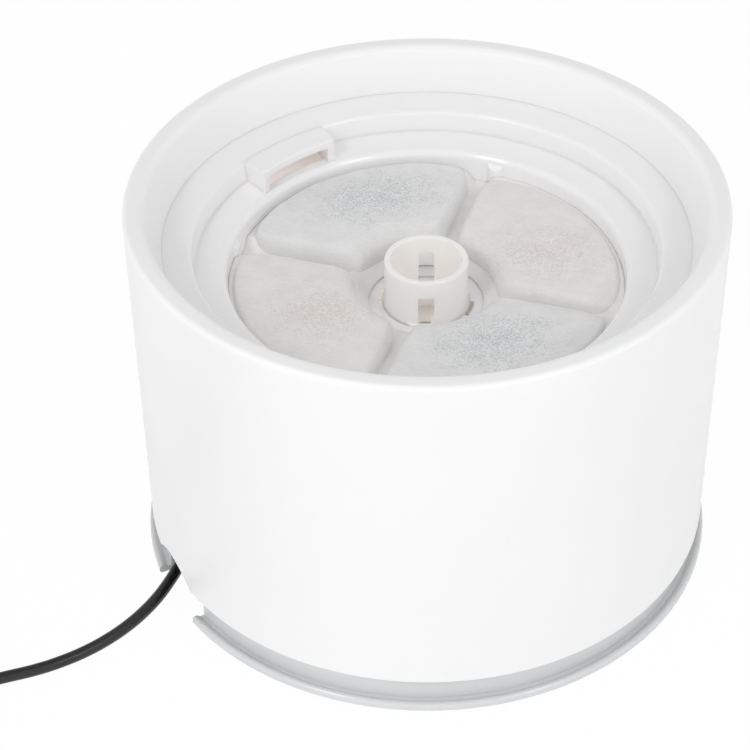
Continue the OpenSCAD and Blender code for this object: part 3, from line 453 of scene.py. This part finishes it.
def heap_nearness(tree, middle, half_mm, turn):
    """1 in the middle of a heap of granules and 0 outside it, with a ragged edge."""
    place = add(tree, "ShaderNodeTexCoord").outputs["Object"]
    heap = add(tree, "ShaderNodeMapping", {
        "Vector": place, "Location": Vector(middle) * MM, "Rotation": (0, 0, math.radians(turn)),
        "Scale": (half_mm[0] * MM, half_mm[1] * MM, 1.0)}, vector_type="TEXTURE")
    away = add(tree, "ShaderNodeVectorMath", {"Vector": heap.outputs[0]}, operation="LENGTH").outputs["Value"]
    ragged = number(tree, "MULTIPLY_ADD", speckle(tree, RAGGED_MM, 3.0), RAGGED)
    tree.links.new(away, ragged.node.inputs[2])
    return between(tree, ragged, *HEAP_EDGE, 1.0, 0.0)


print("granules to a centimetre:", round(10 / GRANULE_MM))

# %% Fleece finish
# GLINT is the colour of the painted glint on the granules, not a colour they have.
FIBRE, GLINT = "#f4f4f3", "#fbfcfc"
FIBRE_MM, FIBRE_DEPTH_MM = 0.5, 0.12
TUFT_MM = 7
FIBRE_ANGLES = (4, 38, -31)


def fleece(name, colour, shade, heap=None, half_mm=None, turn=0, dark=None, strength=0.0):
    """Bonded fleece, with granules showing through around the point heap, in millimetres."""
    finish, tree = blank_finish(name)
    webs = [speckle(tree, FIBRE_MM, 2.0, (0.1, 1, 1), angle) for angle in FIBRE_ANGLES]
    web = number(tree, "MAXIMUM", number(tree, "MAXIMUM", webs[0], webs[1]), webs[2])
    cloud = speckle(tree, TUFT_MM, detail=4.0)
    colours = tint(tree, between(tree, cloud, 0.35, 0.7), colour, shade)
    if heap:
        near = heap_nearness(tree, heap, half_mm, turn)
        place = add(tree, "ShaderNodeTexCoord").outputs["Object"]
        cells = add(tree, "ShaderNodeTexVoronoi", {"Vector": place, "Scale": 1 / (GRANULE_MM * MM)})
        pick = add(tree, "ShaderNodeSeparateColor", {"Color": cells.outputs["Color"]}).outputs[0]
        dark_pick = number(tree, "SUBTRACT", number(tree, "MULTIPLY", near, DARK_SHARE), pick)
        # These cells get a painted glint: granules drawn as if they caught the light.
        glint_pick = number(tree, "ADD", number(tree, "MULTIPLY", near, GLINT_SHARE), pick)
        is_dark = between(tree, dark_pick, 0.0, 0.3, 0.0, strength)
        is_glint = between(tree, glint_pick, 1.0, 1.2, 0.0, strength)
        colours = tint(tree, number(tree, "MULTIPLY", near, strength * 0.25), colours, dark)
        colours = tint(tree, is_dark, colours, dark)
        colours = tint(tree, is_glint, colours, GLINT)
    colours = tint(tree, between(tree, web, 0.5, 0.74, 0.0, 0.45), colours, FIBRE)
    close(tree, colours, 0.9, number(tree, "ADD", web, cloud), FIBRE_DEPTH_MM, Sheen_Weight=0.15,
          Sheen_Roughness=0.5, Specular_IOR_Level=0.3)
    return finish


print("angles of the three webs:", FIBRE_ANGLES)

# %% Fleece of the frame and of the four pouches
# Carbon shows through as a bluish grey, and resin beads as a faint brown.
CARBON, RESIN = "#737c8a", "#bf9c8c"
finishes["filter_fleece"] = fleece("bonded_fleece", "#f5f4f2", "#efeeec")
pouch_finishes = {
    "carbon_pouch_back": fleece(
        "fleece_over_carbon_1", "#e8e8e8", "#e2e2e2",
        heap=(-16, 40, 103.5), half_mm=(32, 18), turn=22, dark=CARBON, strength=0.32),
    "resin_pouch_left": fleece(
        "fleece_over_resin_1", "#ebe9e7", "#e5e3e0",
        heap=(-33.1, -21.1, 102), half_mm=(22, 22), turn=118, dark=RESIN, strength=0.25),
    "carbon_pouch_front": fleece(
        "fleece_over_carbon_2", "#e7e7e7", "#e0e0e0",
        heap=(22.3, -36.3, 102), half_mm=(27, 19), turn=22, dark=CARBON, strength=0.32),
    "resin_pouch_right": fleece(
        "fleece_over_resin_2", "#ebe9e8", "#e5e3e1",
        heap=(39.5, 11.5, 102), half_mm=(22, 25), turn=118, dark=RESIN, strength=0.25),
}
print("fleece finishes:", 1 + len(pouch_finishes))

# %% [markdown]
# ## Filter skin
# Under the pouches the fleece is pressed flat against the frame: an outer ring, a rounded collar
# around the middle hole, and the floors of the valleys. Its section is nearly the same all the way
# round, so it is lathed from one profile, with a little unevenness so that it doesn't look
# machined. A Screw modifier would lathe it too, but here the height and the reach change with the
# direction: the fleece dips in the valleys and draws back around the tray's four locating keys.

# %% Height and reach of the pressed fleece
frame_low, frame_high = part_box("filter_frame")
FLEECE_Z = frame_high.z / MM
FILTER_R = frame_high.x / MM
HOLE_R = 18.6
HUB_R = 23.6
BED_RISE = 4.8
VALLEY_RISE = 1.3
WALL_R = 63.7
SPOKE_AZ = 73.0
HUB_RING = 2
SLOPE_LENGTH = 30
VALLEY_FLOOR = 2
VALLEY_SIDE = 3.5
KEY_AZIMUTHS = [SPOKE_AZ - 4.5, SPOKE_AZ + 94, SPOKE_AZ + 177, SPOKE_AZ - 100]
KEY_CIRCLE_R = 66.6
KEY_ROOM_R = 4.12


def bed_z(r, azimuth):
    """Height of the pressed fleece: it rises from the hub to the edge, less so in the valleys."""
    off = math.radians((azimuth - SPOKE_AZ + 45) % 90 - 45)
    outside = ease((abs(r * math.sin(off)) - VALLEY_FLOOR) / VALLEY_SIDE)
    rise = VALLEY_RISE + (BED_RISE - VALLEY_RISE) * outside
    return FLEECE_Z + rise * ease((r - HUB_R - HUB_RING) / SLOPE_LENGTH)


def reach(azimuth):
    """How far out the fleece goes in one direction: to the wall, or around one of the four keys."""
    off = math.radians(min(abs((azimuth - key_az + 180) % 360 - 180) for key_az in KEY_AZIMUTHS))
    aside = KEY_CIRCLE_R * math.sin(off)
    if aside >= KEY_ROOM_R:
        return WALL_R
    return min(WALL_R, KEY_CIRCLE_R * math.cos(off) - math.sqrt(KEY_ROOM_R ** 2 - aside ** 2))


print("bed at the wall:", round(bed_z(WALL_R, SPOKE_AZ + 45), 2))
print("bed at the end of a valley:", round(bed_z(WALL_R, SPOKE_AZ), 2))

# %% Mesh helper


def new_piece(name, corners, faces):
    """A smooth mesh object from corners in millimetres."""
    mesh = bpy.data.meshes.new(name)
    mesh.from_pydata([Vector(c) * MM for c in corners], [], faces)
    mesh.validate()
    mesh.polygons.foreach_set("use_smooth", [True] * len(mesh.polygons))
    piece = bpy.data.objects.new(name, mesh)
    bpy.context.scene.collection.objects.link(piece)
    return piece


print("scale from millimetres to Blender's metres:", MM)

# %% Lathe the skin
AROUND = 480
TUCK_FROM_R = 50
TUCK_TO_R = WALL_R - 2.5
WAVE_MM = 0.25
WAVE_SIZE_MM = 9
SKIN_MM = 0.5
low_z = frame_low.z / MM + 0.1
skin_profile = [
    (FILTER_R - 1.8, low_z), (FILTER_R - 0.2, low_z + 1.7), (FILTER_R, FLEECE_Z - 0.6), (WALL_R, FLEECE_Z),
    (WALL_R - 0.15, FLEECE_Z + SKIN_MM), (WALL_R - 0.7, FLEECE_Z + 0.65), (WALL_R - 2, FLEECE_Z + SKIN_MM),
    *[(r, FLEECE_Z + SKIN_MM) for r in range(60, 23, -2)], (HOLE_R + 4, FLEECE_Z - 0.5),
    (HOLE_R + 2.6, FLEECE_Z - 1.6), (HOLE_R + 1.2, low_z + 1.1), (HOLE_R + 0.2, low_z + 0.8),
    (HOLE_R, low_z + 0.4), (HOLE_R + 0.5, low_z), (40, low_z),
]
corners = []
for i in range(AROUND):
    a = 2 * math.pi * i / AROUND
    tucked = WALL_R - reach(360 * i / AROUND)
    for r, z in skin_profile:
        if z >= FLEECE_Z and r > HUB_R:
            z += bed_z(r, 360 * i / AROUND) - FLEECE_Z - SKIN_MM
        r -= tucked * min(max((r - TUCK_FROM_R) / (TUCK_TO_R - TUCK_FROM_R), 0), 1)
        wave = noise.noise(Vector((r * math.cos(a), r * math.sin(a), 0)) / WAVE_SIZE_MM)
        lift = WAVE_MM * wave if z > FLEECE_Z - 1 else 0
        corners.append((r * math.cos(a), r * math.sin(a), z + lift))
row = len(skin_profile)
faces = [
    (i * row + k, i * row + (k + 1) % row, (i + 1) % AROUND * row + (k + 1) % row, (i + 1) % AROUND * row + k)
    for i in range(AROUND) for k in range(row)
]
skin = new_piece("FilterSkin", corners, [f[::-1] for f in faces])
skin.data.materials.append(finishes["filter_fleece"])
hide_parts("filter_frame")
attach(skin, "filter")
print("skin corners:", len(corners))

# %% [markdown]
# ## Filter pouches
# Each pouch is two layers of fleece welded together around its edge and filled with granules:
# activated carbon in two of them, ion-exchange resin in the other two. Heat has set it into a low
# cushion with steep sides, rounded corners and a slightly crowned top. Blowing two sheets up with
# the cloth solver would give a softer cushion than heat-set fleece. So a grid is bent into the
# quarter ring, its corners are drawn in, and its height follows the distance from the edge. The
# fleece doesn't lie dead flat over loose granules, so low lumps and fine creases are added.

# %% Pouch outline and stuffed edge, in millimetres
POUCH_IN_R = 22.4
POUCH_OUT_R = 62.3
HALF_DEPTH = (POUCH_OUT_R - POUCH_IN_R) / 2
VALLEY_HALF = 1.9
SIDE_SHOULDER = 3.1
OUTER_SHOULDER = 2.0
INNER_SHOULDER = 7.0
CORNER_PULL, CORNER_POWER = 0.075, 6
EDGE_STEEP, EDGE_BLUNT = 2.3, 2.1


def cushion(distance, shoulder):
    """Height of a stuffed edge, from 0 at the weld to 1 on the top."""
    t = min(max(distance / shoulder, 0.0), 1.0)
    return (1 - (1 - t) ** EDGE_STEEP) ** (1 / EDGE_BLUNT)


def pouch_point(across, outward, first_az):
    """Radius, direction and stuffed height of a point given from -1 to 1 across and outward."""
    pulled_across = across * (1 - CORNER_PULL * abs(outward) ** CORNER_POWER)
    pulled_outward = outward * (1 - CORNER_PULL * abs(across) ** CORNER_POWER)
    r = (POUCH_IN_R + POUCH_OUT_R) / 2 + pulled_outward * HALF_DEPTH
    half = math.pi / 4 - math.asin(VALLEY_HALF / r)
    azimuth = math.radians(first_az + 45) + pulled_across * half
    rise = cushion((1 - abs(across)) * half * r, SIDE_SHOULDER)
    rise *= cushion((1 - abs(outward)) * HALF_DEPTH, OUTER_SHOULDER if outward > 0 else INNER_SHOULDER)
    return r, azimuth, rise


print("pouch from hub to wall:", round(2 * HALF_DEPTH, 1), "mm")

# %% Top of a pouch, in millimetres
CROWN = 0.75
SIDE_FALL = 0.9
LUMP, LUMP_SIZE = 0.3, 8.5
CREASE, CREASE_SIZE = 0.25, (3.2, 6.5)
EDGE_CREASE, EDGE_CREASE_SIZE = 0.22, (2.6, 14)
WELD_SUNK = 0.15
BELLY = 1.4


def top_height(across, outward, place, rise, weld_z, crown_z, outer_fall):
    """Height of the upper fleece: crown, fall to the sides, lumps, and creases at the edge."""
    r, azimuth, first_az = place
    x, y = r * math.cos(azimuth), r * math.sin(azimuth)
    crown = CROWN * (1 - across * across) * (1 - outward * outward) - outer_fall * max(outward, 0) ** 2
    crown -= SIDE_FALL * across ** 4
    lump = noise.noise(Vector((x, y, first_az)) / LUMP_SIZE)
    crease = abs(noise.noise(Vector((x / CREASE_SIZE[0], y / CREASE_SIZE[1], first_az))))
    edge_crease = noise.noise(Vector((
        math.degrees(azimuth) / EDGE_CREASE_SIZE[0], r / EDGE_CREASE_SIZE[1], first_az)))
    z = weld_z + rise * (crown_z - weld_z)
    z += rise * (crown + LUMP * lump - CREASE * crease)
    return z + EDGE_CREASE * edge_crease * rise * (1 - rise) * 4


print("lumps of", LUMP_SIZE, "mm and creases of", CREASE_SIZE, "mm")

# %% Pouch from two layers
ACROSS, ALONG = 96, 72


def pouch(name, first_az, crown_z, outer_fall):
    """Closed pouch over one quarter of the ring, from the spoke at first_az to the next one."""
    corners = []
    for is_top in (True, False):
        for i in range(ACROSS + 1):
            for j in range(ALONG + 1):
                across = math.sin(math.pi * (i / ACROSS - 0.5))
                outward = math.sin(math.pi * (j / ALONG - 0.5))
                r, azimuth, rise = pouch_point(across, outward, first_az)
                weld_z = bed_z(r, math.degrees(azimuth)) - WELD_SUNK
                z = weld_z - BELLY * rise
                if is_top:
                    place = (r, azimuth, first_az)
                    z = top_height(across, outward, place, rise, weld_z, crown_z, outer_fall)
                corners.append((r * math.cos(azimuth), r * math.sin(azimuth), z))
    sheet = (ACROSS + 1) * (ALONG + 1)
    faces = []
    for i in range(ACROSS):
        for j in range(ALONG):
            a = i * (ALONG + 1) + j
            b = a + ALONG + 1
            faces.append((a, b, b + 1, a + 1))
            faces.append((sheet + a, sheet + a + 1, sheet + b + 1, sheet + b))
    piece = new_piece(name, corners, faces)
    weld = piece.modifiers.new("Weld", "WELD")
    weld.merge_threshold = 0.02 * MM
    return piece


print("corners in one layer:", (ACROSS + 1) * (ALONG + 1))

# %% [markdown]
# ### Four pouches
# The carbon at the back is stuffed fullest. The resin pouches slump a little towards the wall. Four
# copies of one mesh would be lighter, but they would share every crease, so the function makes each
# one anew, with creases of its own. Each pouch stands for its own solid and rides with the filter.

# %% Place the pouches: name, height of the crown and fall at the wall, in millimetres
POUCHES = {
    "carbon_pouch_back": ("CarbonPouchBack", 103.9, 0.0),
    "resin_pouch_left": ("ResinPouchLeft", 102.4, 0.8),
    "carbon_pouch_front": ("CarbonPouchFront", 102.7, 0.3),
    "resin_pouch_right": ("ResinPouchRight", 102.4, 1.1),
}
for quarter, (node, (name, crown_z, outer_fall)) in enumerate(POUCHES.items()):
    piece = pouch(name, SPOKE_AZ + 90 * quarter, crown_z, outer_fall)
    piece.data.materials.append(pouch_finishes[node])
    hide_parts(node)
    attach(piece, "filter")
    print(name, "corners:", len(piece.data.vertices))

# %% [markdown]
# ## Dress the solids
# Each solid gets the finish of its material slot, by one loop over the record, so that no piece is
# forgotten. The solids under the pouches have slots of their own and get the plain fleece.

# %% Give each solid its finish
for part in frame["record"]["subparts"]:
    finish = finishes.get(part["material_slot"], finishes["filter_fleece"])
    for slot in frame["nodes"][part["node"]].material_slots:
        slot.material = finish
for line in (lead, inner_lead):
    line.data.materials.append(finishes["lead_sheath"])

# %% [markdown]
# ### Rim of the tray
# The tray presses against the bowl's tapered wall, so its rim is swollen over the tenth of a
# millimetre that the solid keeps free there. Without that, the seam would show as a black line.
# Displace pushes each corner out along its normal. Its facets are joined first, so that they don't
# come apart, and its hard edges are split again afterwards, so that they stay hard.

# %% Seat the tray's rim against the bowl
RIM_SWELL_MM = 0.17
HARD_EDGE_ANGLE = 30
rim_node = frame["nodes"]["tray_rim"]
join = rim_node.modifiers.new("JoinEdges", "WELD")
join.merge_threshold = 0.005 * MM
swell = rim_node.modifiers.new("Swell", "DISPLACE")
swell.mid_level = 0.0
swell.strength = RIM_SWELL_MM * MM
hard_edges = rim_node.modifiers.new("HardEdges", "EDGE_SPLIT")
hard_edges.split_angle = math.radians(HARD_EDGE_ANGLE)
print("tray rim swollen by", RIM_SWELL_MM, "mm")

# %% [markdown]
# ## Floor
# White plastic shows its form only by slight differences of light, so the light is nearly even
# all round, and a pale floor lights the walls from below. A curved backdrop would hide the horizon,
# but a large floor under a white sky does the same. To the camera and to reflections the floor is
# lifted almost to white, and it keeps a trace of the object's shadow.

# %% Floor
FLOOR_HALF = 3.0
FLOOR_LIFT = 0.975
floor_mesh = bpy.data.meshes.new("Floor")
floor_corners = [(x * FLOOR_HALF, y * FLOOR_HALF, 0) for x, y in ((-1, -1), (1, -1), (1, 1), (-1, 1))]
floor_mesh.from_pydata(floor_corners, [], [(0, 1, 2, 3)])
floor = bpy.data.objects.new("Floor", floor_mesh)
bpy.context.scene.collection.objects.link(floor)
paper, tree = blank_finish("white_paper")
matt = add(tree, "ShaderNodeBsdfDiffuse", {"Color": linear("#f6f6f6")})
lift = add(tree, "ShaderNodeEmission", {"Color": linear("#ffffff"), "Strength": 1.0})
ray = add(tree, "ShaderNodeLightPath")
seen = number(tree, "MAXIMUM", ray.outputs["Is Camera Ray"], ray.outputs["Is Glossy Ray"])
paper_mix = add(tree, "ShaderNodeMixShader", {"Fac": number(tree, "MULTIPLY", seen, FLOOR_LIFT)})
tree.links.new(matt.outputs[0], paper_mix.inputs[1])
tree.links.new(lift.outputs[0], paper_mix.inputs[2])
add(tree, "ShaderNodeOutputMaterial", {"Surface": paper_mix.outputs[0]})
floor.data.materials.append(paper)
print("floor:", 2 * FLOOR_HALF, "m across")

# %% [markdown]
# ## Sky
# The sky is brighter at the horizon than overhead, which keeps the drum's sides white and its top
# edges a little greyer, and it is slightly brighter behind the camera. A picture of a studio would
# light as well, but two strengths and a direction are easier to tune. To the camera the sky is
# plain white.

# %% Sky
HORIZON = 1.27
ZENITH = 0.59
BRIGHTER_SIDE = (-0.08, -0.22, 0)
world = bpy.data.worlds.new("Studio")
world.use_nodes = True
tree = world.node_tree
tree.nodes.clear()
direction = add(tree, "ShaderNodeTexCoord").outputs["Generated"]
height = add(tree, "ShaderNodeSeparateXYZ", {"Vector": direction}).outputs["Z"]
low = number(tree, "POWER", between(tree, height, 0.0, 1.0, 1.0, 0.0), 2.0)
aside = add(tree, "ShaderNodeVectorMath", {"Vector": direction, "Vector_001": BRIGHTER_SIDE},
            operation="DOT_PRODUCT").outputs["Value"]
upright = between(tree, low, 0.0, 1.0, ZENITH, HORIZON)
light = number(tree, "MULTIPLY", upright, number(tree, "ADD", aside, 1.0))
ray = add(tree, "ShaderNodeLightPath")
strength = add(tree, "ShaderNodeMix", {
    "Factor_Float": ray.outputs["Is Camera Ray"], "A_Float": light, "B_Float": 1.0}, data_type="FLOAT")
sky = add(tree, "ShaderNodeBackground", {"Color": linear("#fefefe"), "Strength": strength.outputs[0]})
add(tree, "ShaderNodeOutputWorld", {"Surface": sky.outputs[0]})
bpy.context.scene.world = world
bpy.context.scene.view_settings.view_transform = "Standard"
print("sky from", ZENITH, "overhead to", HORIZON, "at the horizon")

# %% [markdown]
# ## Lamps
# Two soft boxes beside the camera give the thin highlights on edges. Three weak warm lamps inside
# stand for the light that comes through two walls of white plastic: following it through both walls
# would take far more rays than it is worth. They are hidden from the camera and from reflections.

# %% Lamps
WARM_GLOW = "#fff0e6"
LAMP_SIZE = 0.22
AIM = Vector((0, 0, 0.1))


def lamp(name, kind, place, size, power, colour="#ffffff"):
    """A soft box that faces the fountain, or a soft ball of light."""
    data = bpy.data.lights.new(name, kind)
    data.energy = power
    data.color = linear(colour)[:3]
    if kind == "AREA":
        data.size = size
    else:
        data.shadow_soft_size = size
    light = bpy.data.objects.new(name, data)
    bpy.context.scene.collection.objects.link(light)
    light.location = Vector(place)
    light.rotation_euler = (AIM - light.location).to_track_quat("-Z", "Y").to_euler()
    return light


lamp("LeftLamp", "AREA", (-0.55, -0.66, 0.86), LAMP_SIZE, 1.7)
lamp("RightLamp", "AREA", (0.6, -0.6, 0.86), LAMP_SIZE, 1.6)
glows = [
    lamp("TankGlow", "POINT", (-0.035, -0.03, 0.06), 0.012, 0.058, WARM_GLOW),
    lamp("BackGlow", "POINT", (-0.03, 0.045, 0.07), 0.01, 0.018, WARM_GLOW),
    lamp("CollarGlow", "POINT", (0, 0, 0.0905), 0.003, 0.0007, WARM_GLOW),
]
for glow in glows:
    glow.visible_camera = glow.visible_glossy = False
print("lamps:", 2 + len(glows))
